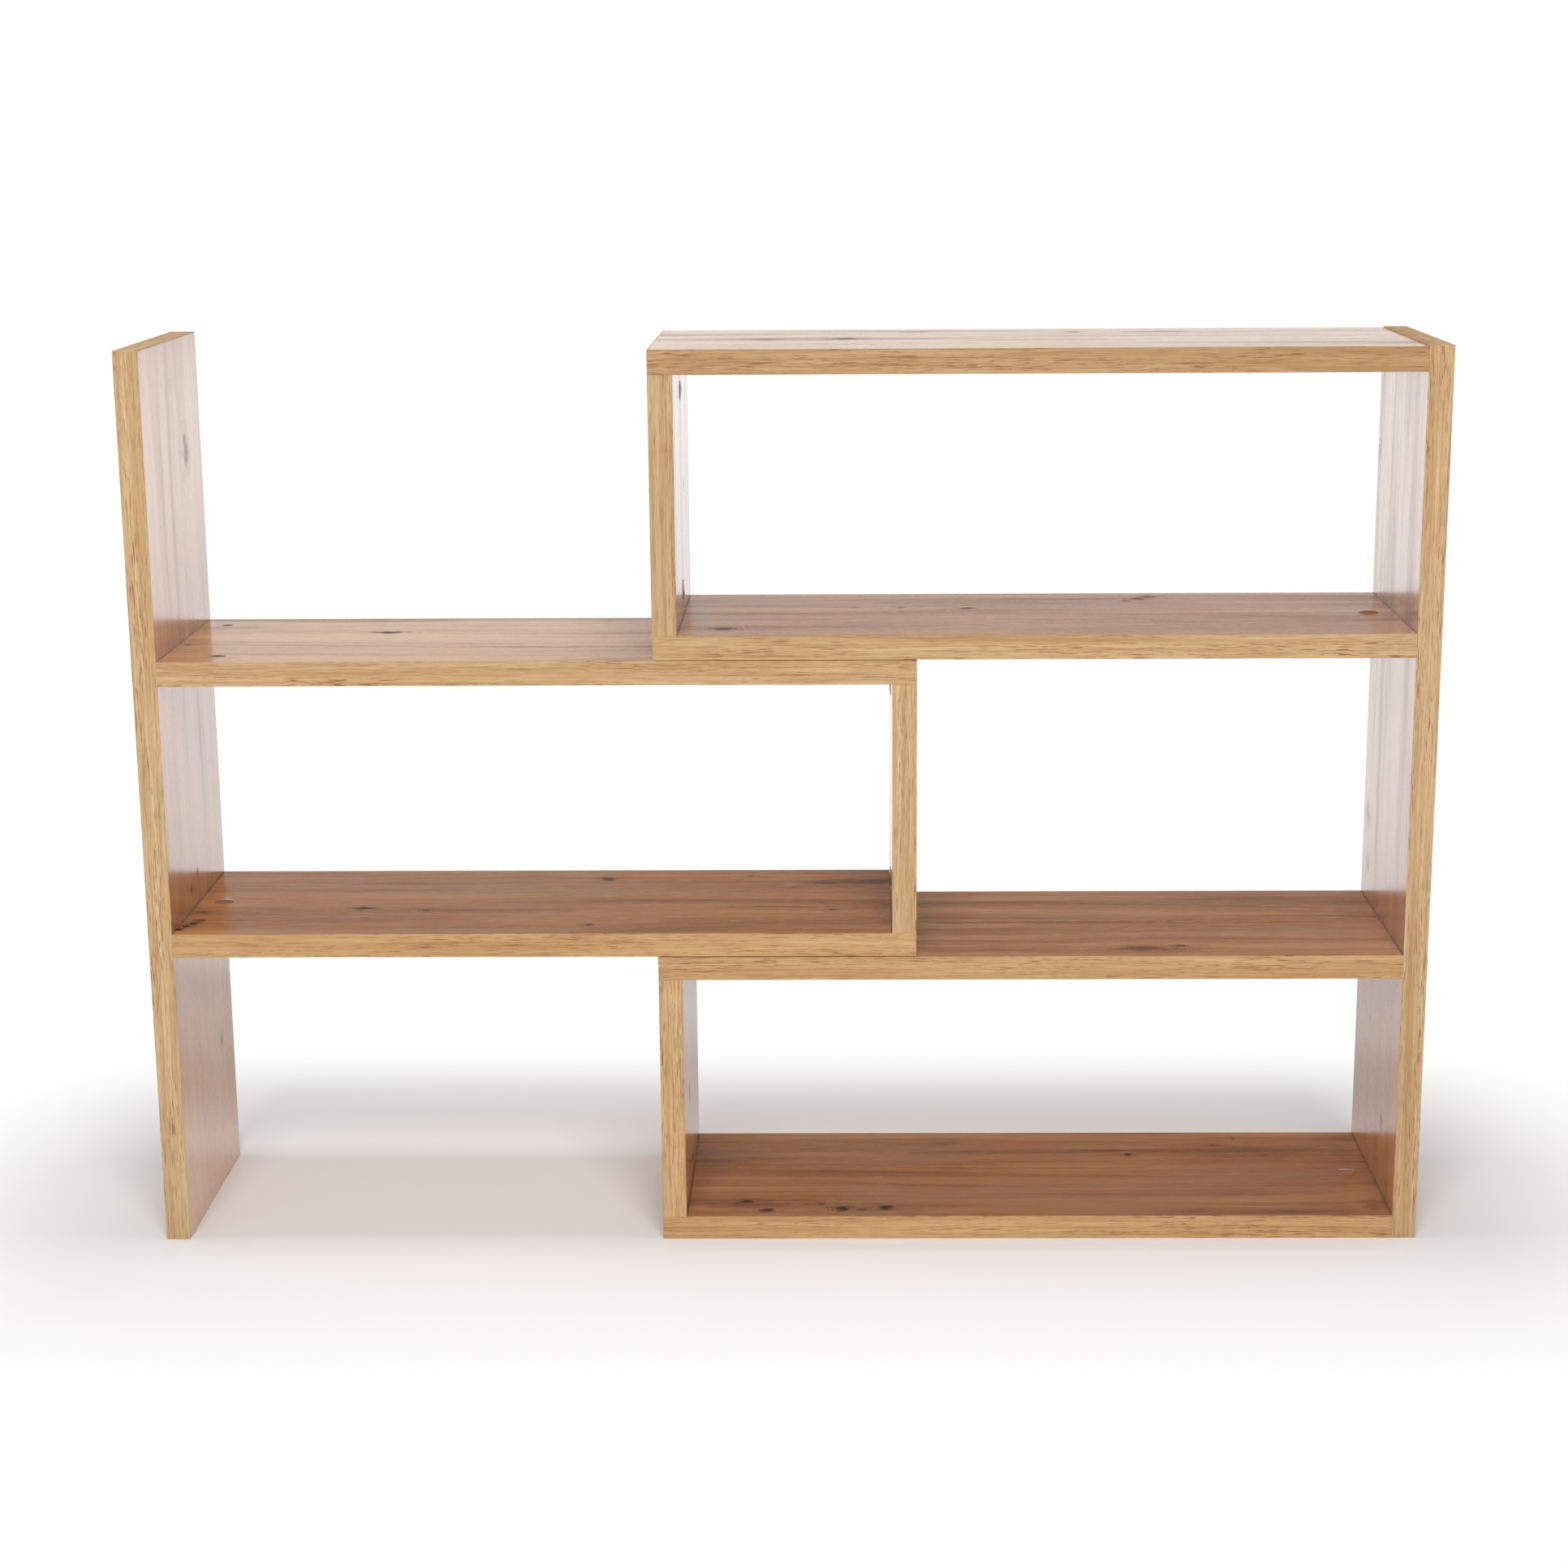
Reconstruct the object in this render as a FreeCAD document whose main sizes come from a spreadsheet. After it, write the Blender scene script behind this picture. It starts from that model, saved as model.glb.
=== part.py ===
"""Extendable open bookshelf: two units of laminated board that slide into each other sideways.

The right unit stands still. It has a full-height side panel with two boxes on its left: the top box and
the bottom box. The left unit has a full-height side panel with one box on its right, which slides
between the two boxes of the right unit.

X runs along the width, Y from front to back and Z up. The origin is on the floor, in the middle of the
width and the depth. Every board is drawn lying down in a frame of its own: x along its length, y along
its depth and z through its thickness, with the drilled inner face on top.
"""

import FreeCAD, Part
import os
import re

import Sketcher

# Driving sizes in millimetres
SIZES = {
    # boards
    "board_thickness": 22,
    "unit_depth": 220,
    "side_height": 827,
    "shelf_length": 680,
    "upright_height": 231,
    # the two units together, as set in the photograph
    "rest_width": 1168,
    "slide_gap": 0.5,
    # edge bands
    "band_thickness": 1,
    "band_rounding": 0.4,
    # cam disc, in a bore in the inner face
    "cam_setback": 24,
    "cam_bore_diameter": 15,
    "cam_bore_depth": 16,
    "cam_diameter": 14.8,
    "cam_height": 15,
    "cam_throat": 7.2,
    "cam_throat_reach": 11.4,
    "cam_cross_length": 9,
    "cam_cross_width": 2,
    "cam_cross_depth": 3,
    "cam_socket_diameter": 4.4,
    # cam bolt, screwed into the other board and caught by the cam disc
    "thread_diameter": 5,
    "thread_length": 10,
    "collar_diameter": 7.6,
    "collar_length": 2,
    "shank_diameter": 6.4,
    "shank_length": 14,
    "neck_diameter": 4,
    "neck_length": 5,
    "head_diameter": 6.6,
    "head_length": 3,
    "bolt_bevel": 0.6,
    "bolt_bore_diameter": 8,
    "thread_bore_diameter": 5.1,
    "thread_bore_depth": 11,
    # dowels, two in each joint
    "dowel_diameter": 8,
    "dowel_length": 30,
    "dowel_bevel": 0.8,
    "dowel_spacing": 128,
    "dowel_bore_diameter": 8.1,
    "dowel_end_bore_depth": 18.5,
    "dowel_face_bore_depth": 12.5,
    "dowel_end_gap": 0.5,
    # cover cap over a cam disc
    "cap_diameter": 18,
    "cap_height": 1.6,
    "cap_crown": 1.2,
    "cap_pin_diameter": 4,
    "cap_pin_length": 3.5,
}

# Points closer than this are the same point, and a cut smaller than this cuts nothing
TOUCH = 1e-6
LEAST_CUT = 1

# Directions in the bookshelf's frame
RIGHT = FreeCAD.Vector(1, 0, 0)
LEFT = FreeCAD.Vector(-1, 0, 0)
UP = FreeCAD.Vector(0, 0, 1)
DOWN = FreeCAD.Vector(0, 0, -1)

# Places across the width
RIGHT_OUTER_FACE = "rest_width / 2"
RIGHT_INNER_FACE = "rest_width / 2 - board_thickness"
RIGHT_FREE_END = "rest_width / 2 - board_thickness - shelf_length"
LEFT_OUTER_FACE = "-rest_width / 2"
LEFT_INNER_FACE = "-rest_width / 2 + board_thickness"
LEFT_FREE_END = "-rest_width / 2 + board_thickness + shelf_length"

# Places from front to back
FRONT = "-unit_depth / 2"
BACK = "unit_depth / 2"
MID_DEPTH = "unit_depth / 2"
MID_BOARD = "board_thickness / 2"

# Undersides of the shelves, from the floor up
BOTTOM_SHELF = "0"
RIGHT_MIDDLE_SHELF = "board_thickness + upright_height"
LEFT_LOWER_SHELF = "2 * board_thickness + upright_height + slide_gap"
LEFT_UPPER_SHELF = "3 * board_thickness + 2 * upright_height + slide_gap"
RIGHT_UPPER_SHELF = "4 * board_thickness + 2 * upright_height + 2 * slide_gap"
TOP_SHELF = "5 * board_thickness + 3 * upright_height + 2 * slide_gap"

doc = FreeCAD.newDocument("extendable_bookshelf")
sheet = doc.addObject("Spreadsheet::Sheet", "Sizes")
for row, (word, size) in enumerate(SIZES.items(), start=1):
    sheet.set(f"A{row}", word.replace("_", " "))
    sheet.set(f"B{row}", str(size))
    sheet.setAlias(f"B{row}", word)
doc.recompute()

nodes = []


def bind(thing, name, formula):
    """Binds a property to a formula whose words are cells of the sheet."""
    thing.setExpression(name, re.sub(r"[a-z_]{3,}", r"Sizes.\g<0>", formula))


def place(thing, x, y, z, along, inner):
    """Sets where a thing stands: its corner, the way its length runs and the way its inner face looks."""
    across = inner.cross(along)
    thing.Placement.Rotation = FreeCAD.Rotation(along, across, inner, "XZY")
    for axis, formula in zip("xyz", (x, y, z)):
        bind(thing, f"Placement.Base.{axis}", formula)


def keep(thing, label):
    """Names a finished sub-part and lists it for writing."""
    thing.Label = label
    nodes.append(thing)


def new_body(name):
    return doc.addObject("PartDesign::Body", name)


def new_sketch(body, plane, offset="0"):
    """An empty sketch on one of the body's own planes, raised by an offset."""
    sketch = body.newObject("Sketcher::SketchObject", "sketch")
    support = next(f for f in body.Origin.OriginFeatures if f.Role == plane)
    sketch.AttachmentSupport = [(support, "")]
    sketch.MapMode = "FlatFace"
    bind(sketch, "AttachmentOffset.Base.z", offset)
    return sketch


def pin_point(sketch, geometry, point, x, y):
    """Fixes a point of a sketch at x, y; a coordinate of 0 lies on the sketch's axis."""
    for kind, axis, formula in (("DistanceX", -2, x), ("DistanceY", -1, y)):
        if formula == "0":
            sketch.addConstraint(Sketcher.Constraint("PointOnObject", geometry, point, axis))
        else:
            index = sketch.addConstraint(Sketcher.Constraint(kind, -1, 1, geometry, point, 1.0))
            bind(sketch, f"Constraints[{index}]", formula)


def add_outline(sketch, points):
    """A closed outline of straight lines through points given as formulas.

    The lines start on a curve where no two points meet, and their pins then move them into place.
    """
    count = len(points)
    loose = [FreeCAD.Vector(index + 1, index * index + 1, 0) for index in range(count)]
    for index in range(count):
        sketch.addGeometry(Part.LineSegment(loose[index], loose[(index + 1) % count]))
    for index, (x, y) in enumerate(points):
        previous = (index - 1) % count
        sketch.addConstraint(Sketcher.Constraint("Coincident", previous, 2, index, 1))
        pin_point(sketch, index, 1, x, y)


def add_rectangle(sketch, low, high):
    add_outline(sketch, [low, (high[0], low[1]), high, (low[0], high[1])])


def add_circle(sketch, x, y, diameter):
    index = sketch.addGeometry(Part.Circle(FreeCAD.Vector(1, 1, 0), UP, 1))
    pin_point(sketch, index, 3, x, y)
    constraint = sketch.addConstraint(Sketcher.Constraint("Diameter", index, 2.0))
    bind(sketch, f"Constraints[{constraint}]", diameter)


def pad(body, sketch, length):
    feature = body.newObject("PartDesign::Pad", "pad")
    feature.Profile = sketch
    bind(feature, "Length", length)
    doc.recompute()
    return feature


def pocket(body, sketch, depth, backwards=False):
    """Cuts a sketch into the body, and stops the build if nothing was cut."""
    before = body.Shape.Volume
    feature = body.newObject("PartDesign::Pocket", "pocket")
    feature.Profile = sketch
    feature.Reversed = backwards
    bind(feature, "Length", depth)
    doc.recompute()
    if body.Shape.Volume > before - LEAST_CUT:
        raise RuntimeError(f"a pocket of {body.Name} cuts nothing")
    return feature


def turn(body, sketch, axis):
    """Turns a sketch about one of its own axes."""
    feature = body.newObject("PartDesign::Revolution", "turned")
    feature.Profile = sketch
    feature.ReferenceAxis = (sketch, [axis])
    feature.Angle = 360
    doc.recompute()
    return feature


def round_edges(body, feature, is_rounded, radius):
    """Rounds the edges of a feature that pass a test."""
    names = []
    for index, edge in enumerate(feature.Shape.Edges, start=1):
        if is_rounded(edge):
            names.append(f"Edge{index}")
    fillet = body.newObject("PartDesign::Fillet", "rounding")
    fillet.Base = (feature, names)
    bind(fillet, "Radius", radius)
    doc.recompute()


def drill(body, plane, offset, holes, diameter, depth, backwards=False):
    """Round bores of one size, at places given as formulas in a plane of the body."""
    sketch = new_sketch(body, plane, offset)
    for x, y in holes:
        add_circle(sketch, x, y, diameter)
    pocket(body, sketch, depth, backwards)


# Both dowels of a joint, measured across the depth
DOWEL_PLACES = ("unit_depth / 2 - dowel_spacing / 2", "unit_depth / 2 + dowel_spacing / 2")
# Where the slope of a cover cap's crown changes, as shares of the cap's radius
CROWN_RINGS = (1, 0.9, 0.7, 0.4, 0.15)


def drill_end(body, end):
    """The bolt bore and two dowel bores in the end of a board, at 0 or at its far end."""
    into_board = end == "0"
    bolt_hole = [(MID_DEPTH, MID_BOARD)]
    dowel_holes = [(y, MID_BOARD) for y in DOWEL_PLACES]
    drill(body, "YZ_Plane", end, bolt_hole, "bolt_bore_diameter", "cam_setback", into_board)
    drill(body, "YZ_Plane", end, dowel_holes, "dowel_bore_diameter", "dowel_end_bore_depth", into_board)


def drill_face(body, lines):
    """The bolt and dowel holes in an inner face where another board's end stands on it."""
    bolt_holes = [(x, MID_DEPTH) for x in lines]
    dowel_holes = [(x, y) for x in lines for y in DOWEL_PLACES]
    drill(body, "XY_Plane", "board_thickness", bolt_holes, "thread_bore_diameter", "thread_bore_depth")
    drill(body, "XY_Plane", "board_thickness", dowel_holes, "dowel_bore_diameter", "dowel_face_bore_depth")


def drill_cams(body, lines):
    """The cam bores in an inner face."""
    holes = [(x, MID_DEPTH) for x in lines]
    drill(body, "XY_Plane", "board_thickness", holes, "cam_bore_diameter", "cam_bore_depth")


def make_board(label, start, end):
    """A bare board from start to end along its length, set back by the bands along its depth."""
    body = new_body(label)
    sketch = new_sketch(body, "XY_Plane")
    add_rectangle(sketch, (start, "band_thickness"), (end, "unit_depth - band_thickness"))
    pad(body, sketch, "board_thickness")
    keep(body, label)
    return body


def make_shelf(label):
    """A shelf: its length starts at the side panel and ends at the free end."""
    body = make_board(label, "0", "shelf_length - band_thickness")
    drill_cams(body, ["cam_setback"])
    drill_end(body, "0")
    drill_face(body, ["shelf_length - board_thickness / 2"])
    return body


def make_upright(label):
    """A short upright between two shelves, with a cam at either end."""
    body = make_board(label, "0", "upright_height")
    drill_cams(body, ["cam_setback", "upright_height - cam_setback"])
    drill_end(body, "0")
    drill_end(body, "upright_height")
    return body


def make_side(label, shelves):
    """A full-height side panel, drilled at the middle of each of its shelves."""
    body = make_board(label, "band_thickness", "side_height - band_thickness")
    drill_face(body, [f"{shelf} + board_thickness / 2" for shelf in shelves])
    return body


def make_band(name, low, high, face, free_ends=()):
    """One edge band from its low to its high corner, rounded along the edges of its outer face.

    face is the side of the board that the band covers: front, back, start or end.
    free_ends are the ends of the board where the corner of a front or back band is rounded too.
    """
    body = new_body(name)
    sketch = new_sketch(body, "XY_Plane")
    add_rectangle(sketch, low, high)
    strip = pad(body, sketch, "board_thickness")
    box = strip.Shape.BoundBox
    ends = {"start": box.XMin, "end": box.XMax}
    sides = {"front": box.YMin, "back": box.YMax}

    def is_rounded(edge):
        middle = edge.CenterOfMass
        distance = middle.x - ends[face] if face in ends else middle.y - sides[face]
        if abs(distance) > TOUCH:
            return False
        is_corner = edge.BoundBox.ZLength > TOUCH
        return not is_corner or any(abs(middle.x - ends[end]) < TOUCH for end in free_ends)

    round_edges(body, strip, is_rounded, "band_rounding")
    return body


def make_edging(label, length, free_ends):
    """The edge bands of one board: front and back over its whole length, and one on each free end."""
    front = ("0", "band_thickness")
    back = ("unit_depth - band_thickness", "unit_depth")
    between = ("band_thickness", "unit_depth - band_thickness")
    ends = {"start": ("0", "band_thickness"), "end": (f"{length} - band_thickness", length)}
    bands = []
    for face, (low, high) in (("front", front), ("back", back)):
        bands.append(make_band(f"{label}_{face}", ("0", low), (length, high), face, free_ends))
    for face in free_ends:
        low, high = ends[face]
        bands.append(make_band(f"{label}_{face}", (low, between[0]), (high, between[1]), face))
    edging = doc.addObject("Part::Compound", label)
    edging.Links = bands
    keep(edging, label)
    return edging


def make_cam():
    """A cam disc in its bore: a slotted cylinder with a throat for the bolt's head and a cross on top."""
    body = new_body("cam_disc")
    disc = new_sketch(body, "XY_Plane", "board_thickness - cam_bore_depth")
    add_circle(disc, "cam_setback", MID_DEPTH, "cam_diameter")
    pad(body, disc, "cam_height")
    throat = new_sketch(body, "YZ_Plane", "cam_setback - cam_diameter / 2")
    add_rectangle(
        throat,
        ("unit_depth / 2 - cam_throat / 2", "board_thickness / 2 - cam_throat / 2"),
        ("unit_depth / 2 + cam_throat / 2", "board_thickness / 2 + cam_throat / 2"),
    )
    pocket(body, throat, "cam_throat_reach", backwards=True)
    top = "board_thickness - cam_bore_depth + cam_height"
    arms = (("cam_cross_length", "cam_cross_width"), ("cam_cross_width", "cam_cross_length"))
    for length, width in arms:
        arm = new_sketch(body, "XY_Plane", top)
        add_rectangle(
            arm,
            (f"cam_setback - {length} / 2", f"unit_depth / 2 - {width} / 2"),
            (f"cam_setback + {length} / 2", f"unit_depth / 2 + {width} / 2"),
        )
        pocket(body, arm, "cam_cross_depth")
    socket = [("cam_setback", MID_DEPTH)]
    drill(body, "XY_Plane", top, socket, "cam_socket_diameter", "cam_cross_depth")
    return body


def make_bolt():
    """A cam bolt, turned about its length: thread, collar, shank, neck and head."""
    body = new_body("cam_bolt")
    sketch = new_sketch(body, "XY_Plane", MID_BOARD)
    bind(sketch, "AttachmentOffset.Base.x", "-thread_length")
    bind(sketch, "AttachmentOffset.Base.y", MID_DEPTH)
    points = [("0", "0")]
    reach = "0"
    for stage in ("thread", "collar", "shank", "neck", "head"):
        radius = f"{stage}_diameter / 2"
        near = reach
        reach = f"{near} + {stage}_length"
        points.append((near, f"{radius} - bolt_bevel"))
        points.append((f"{near} + bolt_bevel", radius))
        points.append((f"{reach} - bolt_bevel", radius))
        points.append((reach, f"{radius} - bolt_bevel"))
    points.append((reach, "0"))
    add_outline(sketch, points)
    turn(body, sketch, "H_Axis")
    return body


def make_dowel(name, across):
    """A wooden dowel through a joint, bevelled at both ends."""
    body = new_body(name)
    sketch = new_sketch(body, "XY_Plane", MID_BOARD)
    bind(sketch, "AttachmentOffset.Base.x", "dowel_end_bore_depth - dowel_end_gap - dowel_length")
    bind(sketch, "AttachmentOffset.Base.y", across)
    radius = "dowel_diameter / 2"
    add_outline(
        sketch,
        [
            ("0", "0"),
            ("0", f"{radius} - dowel_bevel"),
            ("dowel_bevel", radius),
            ("dowel_length - dowel_bevel", radius),
            ("dowel_length", f"{radius} - dowel_bevel"),
            ("dowel_length", "0"),
        ],
    )
    turn(body, sketch, "H_Axis")
    return body


def make_cap():
    """A cover cap, turned about its height: a pin into the cam's cross and a low crown on the inner face."""
    body = new_body("cover_cap")
    sketch = new_sketch(body, "XZ_Plane", f"-{MID_DEPTH}")
    bind(sketch, "AttachmentOffset.Base.x", "cam_setback")
    bind(sketch, "AttachmentOffset.Base.y", "board_thickness - cap_pin_length")
    pin_radius = "cap_pin_diameter / 2"
    radius = "cap_diameter / 2"
    points = [("0", "0"), (pin_radius, "0"), (pin_radius, "cap_pin_length"), (radius, "cap_pin_length")]
    for share in CROWN_RINGS:
        height = f"cap_pin_length + cap_height - cap_crown * {share} * {share}"
        points.append((f"{radius} * {share}", height))
    points.append(("0", height))
    add_outline(sketch, points)
    turn(body, sketch, "V_Axis")
    return body


def make_group(label, pieces, seats):
    """Copies of the same pieces at every seat, as one sub-part of separate solids."""
    group = doc.addObject("Part::Compound", label)
    copies = []
    for seat in seats:
        for piece in pieces:
            copy = doc.addObject("App::Link", f"{label}_copy")
            copy.LinkedObject = piece
            place(copy, *seat)
            copies.append(copy)
    group.Links = copies
    keep(group, label)


# Where each board stands: corner, way along its length, way its inner face looks
SHELF_SEATS = {
    "top_shelf": (RIGHT_INNER_FACE, FRONT, f"{TOP_SHELF} + board_thickness", LEFT, DOWN),
    "right_upper_shelf": (RIGHT_INNER_FACE, BACK, RIGHT_UPPER_SHELF, LEFT, UP),
    "right_middle_shelf": (RIGHT_INNER_FACE, FRONT, f"{RIGHT_MIDDLE_SHELF} + board_thickness", LEFT, DOWN),
    "bottom_shelf": (RIGHT_INNER_FACE, BACK, BOTTOM_SHELF, LEFT, UP),
    "left_upper_shelf": (LEFT_INNER_FACE, BACK, f"{LEFT_UPPER_SHELF} + board_thickness", RIGHT, DOWN),
    "left_lower_shelf": (LEFT_INNER_FACE, FRONT, LEFT_LOWER_SHELF, RIGHT, UP),
}
UPRIGHT_SEATS = {
    "upper_upright": (RIGHT_FREE_END, BACK, f"{RIGHT_UPPER_SHELF} + board_thickness", UP, RIGHT),
    "lower_upright": (RIGHT_FREE_END, BACK, f"{BOTTOM_SHELF} + board_thickness", UP, RIGHT),
    "left_upright": (LEFT_FREE_END, FRONT, f"{LEFT_LOWER_SHELF} + board_thickness", UP, LEFT),
}
SIDE_SEATS = {
    "right_side_panel": (RIGHT_OUTER_FACE, FRONT, "0", UP, LEFT),
    "left_side_panel": (LEFT_OUTER_FACE, BACK, "0", UP, RIGHT),
}
SIDE_SHELVES = {
    "right_side_panel": [BOTTOM_SHELF, RIGHT_MIDDLE_SHELF, RIGHT_UPPER_SHELF, TOP_SHELF],
    "left_side_panel": [LEFT_LOWER_SHELF, LEFT_UPPER_SHELF],
}

for board, seat in SHELF_SEATS.items():
    place(make_shelf(board), *seat)
    place(make_edging(f"{board}_edging", "shelf_length", ["end"]), *seat)
for board, seat in UPRIGHT_SEATS.items():
    place(make_upright(board), *seat)
    place(make_edging(f"{board}_edging", "upright_height", []), *seat)
for board, seat in SIDE_SEATS.items():
    place(make_side(board, SIDE_SHELVES[board]), *seat)
    place(make_edging(f"{board}_edging", "side_height", ["start", "end"]), *seat)


def joint_seats(shelves, uprights):
    """The seats of a unit's joints: one at each shelf's side end, and one at either end of an upright."""
    seats = [SHELF_SEATS[name] for name in shelves]
    for name in uprights:
        x, y, z, along, inner = UPRIGHT_SEATS[name]
        seats.append((x, y, z, along, inner))
        other_side = FRONT if y == BACK else BACK
        seats.append((x, other_side, f"{z} + upright_height", DOWN, inner))
    return seats


cam = make_cam()
bolt = make_bolt()
dowels = [make_dowel(f"dowel_{index}", across) for index, across in enumerate(DOWEL_PLACES)]
cap = make_cap()
UNIT_BOARDS = {
    "right": (
        ["top_shelf", "right_upper_shelf", "right_middle_shelf", "bottom_shelf"],
        ["upper_upright", "lower_upright"],
    ),
    "left": (["left_upper_shelf", "left_lower_shelf"], ["left_upright"]),
}
for unit, (shelves, uprights) in UNIT_BOARDS.items():
    seats = joint_seats(shelves, uprights)
    make_group(f"{unit}_cam_discs", [cam], seats)
    make_group(f"{unit}_cam_bolts", [bolt], seats)
    make_group(f"{unit}_dowels", dowels, seats)
    make_group(f"{unit}_cover_caps", [cap], seats)

doc.recompute()
for thing in doc.Objects:
    if "Invalid" in thing.State or "Error" in thing.State:
        raise RuntimeError(f"{thing.Label} failed: {thing.State}")
for node in nodes:
    if node.Shape.isNull() or not node.Shape.isValid():
        raise RuntimeError(f"{node.Label} has no valid shape")

os.makedirs("parts", exist_ok=True)
for node in nodes:
    node.Shape.exportStep(f"parts/{node.Label}.step")
    box = node.Shape.BoundBox
    print(f"{node.Label}: {len(node.Shape.Solids)} solids, {node.Shape.Volume:.0f} mm3, {box}")
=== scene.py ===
"""Looks of an extendable stepped bookshelf in oak laminate, with its floor, light and camera."""

import math

import bpy
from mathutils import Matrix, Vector


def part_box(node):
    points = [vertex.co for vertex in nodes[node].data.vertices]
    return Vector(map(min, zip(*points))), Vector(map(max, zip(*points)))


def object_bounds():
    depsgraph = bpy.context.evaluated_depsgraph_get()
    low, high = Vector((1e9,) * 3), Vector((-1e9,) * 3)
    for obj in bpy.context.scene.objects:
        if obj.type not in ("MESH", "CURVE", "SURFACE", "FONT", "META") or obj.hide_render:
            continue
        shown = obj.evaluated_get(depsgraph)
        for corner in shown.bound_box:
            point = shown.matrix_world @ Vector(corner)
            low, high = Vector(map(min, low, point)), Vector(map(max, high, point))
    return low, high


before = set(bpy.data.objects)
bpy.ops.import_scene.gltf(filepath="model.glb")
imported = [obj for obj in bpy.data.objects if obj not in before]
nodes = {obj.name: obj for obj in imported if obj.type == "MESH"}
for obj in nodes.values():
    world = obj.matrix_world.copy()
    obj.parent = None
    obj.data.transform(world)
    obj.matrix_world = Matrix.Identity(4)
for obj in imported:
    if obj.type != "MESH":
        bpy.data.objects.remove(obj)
cad_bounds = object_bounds()

MM = 0.001
AXES = "XYZ"
X, Y, Z = range(3)

# Colours, as linear albedo
PALE_OAK = (0.74, 0.370, 0.176)
TAN_OAK = (0.61, 0.280, 0.122)
BROWN_OAK = (0.475, 0.203, 0.083)
DARK_OAK = (0.25, 0.096, 0.038)
GREY_OAK = (0.54, 0.33, 0.20)
KNOT = (0.036, 0.018, 0.010)
BAND_PALE = (0.665, 0.450, 0.240)
BAND_OAK = (0.57, 0.360, 0.175)
BAND_TAN = (0.46, 0.263, 0.109)
BAND_DASH = (0.25, 0.095, 0.030)
CHIPBOARD_PALE = (0.58, 0.44, 0.29)
CHIPBOARD_DARK = (0.30, 0.20, 0.12)
CAP_BROWN = (0.29, 0.140, 0.070)
CAP_TAN = (0.43, 0.225, 0.120)
BEECH_PALE = (0.66, 0.47, 0.30)
BEECH_DARK = (0.52, 0.34, 0.20)
ZINC = (0.62, 0.62, 0.61)
ZINC_DULL = (0.44, 0.44, 0.43)
STEEL = (0.60, 0.58, 0.54)
STEEL_DULL = (0.40, 0.38, 0.35)
FLOOR_WHITE = (0.90, 0.90, 0.90)
WHITE = (1.0, 1.0, 1.0)
BLACK = (0.0, 0.0, 0.0)

# Tint of each board's print: partly its own tone and partly painted light; the top shelf's print is painted
# paler and less red, a painted sheen
PRINT_TINTS_AND_PAINTED_SHEEN = {
    "right_side_panel": (1.0, 0.97, 0.82),
    "left_side_panel": (1.0, 1.0, 0.86),
    # Painted sheen: the top shelf's print is paler and less red
    "top_shelf": (1.19, 1.40, 1.38),
    "right_upper_shelf": (1.11, 1.06, 0.74),
    "right_middle_shelf": (1.04, 1.12, 1.14),
    "bottom_shelf": (0.87, 0.87, 0.88),
    "left_upper_shelf": (1.05, 1.06, 0.80),
    "left_lower_shelf": (0.99, 0.97, 0.80),
    "upper_upright": (1.0, 1.0, 1.0),
    "lower_upright": (1.0, 0.94, 0.78),
    "left_upright": (1.0, 0.97, 0.86),
}
# Tint of each board's edge band
BAND_TINTS = {
    "right_side_panel": (1.0, 1.03, 1.09),
    "left_side_panel": (1.04, 1.10, 1.16),
    "top_shelf": (0.83, 0.79, 0.78),
    "right_upper_shelf": (0.97, 1.00, 1.02),
    "right_middle_shelf": (0.97, 0.93, 0.86),
    "bottom_shelf": (0.97, 0.90, 0.80),
    "left_upper_shelf": (0.98, 0.99, 0.99),
    "left_lower_shelf": (0.98, 0.93, 0.84),
    "upper_upright": (0.90, 0.91, 0.93),
    "lower_upright": (1.02, 1.03, 1.00),
    "left_upright": (1.04, 1.10, 1.17),
}

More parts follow.
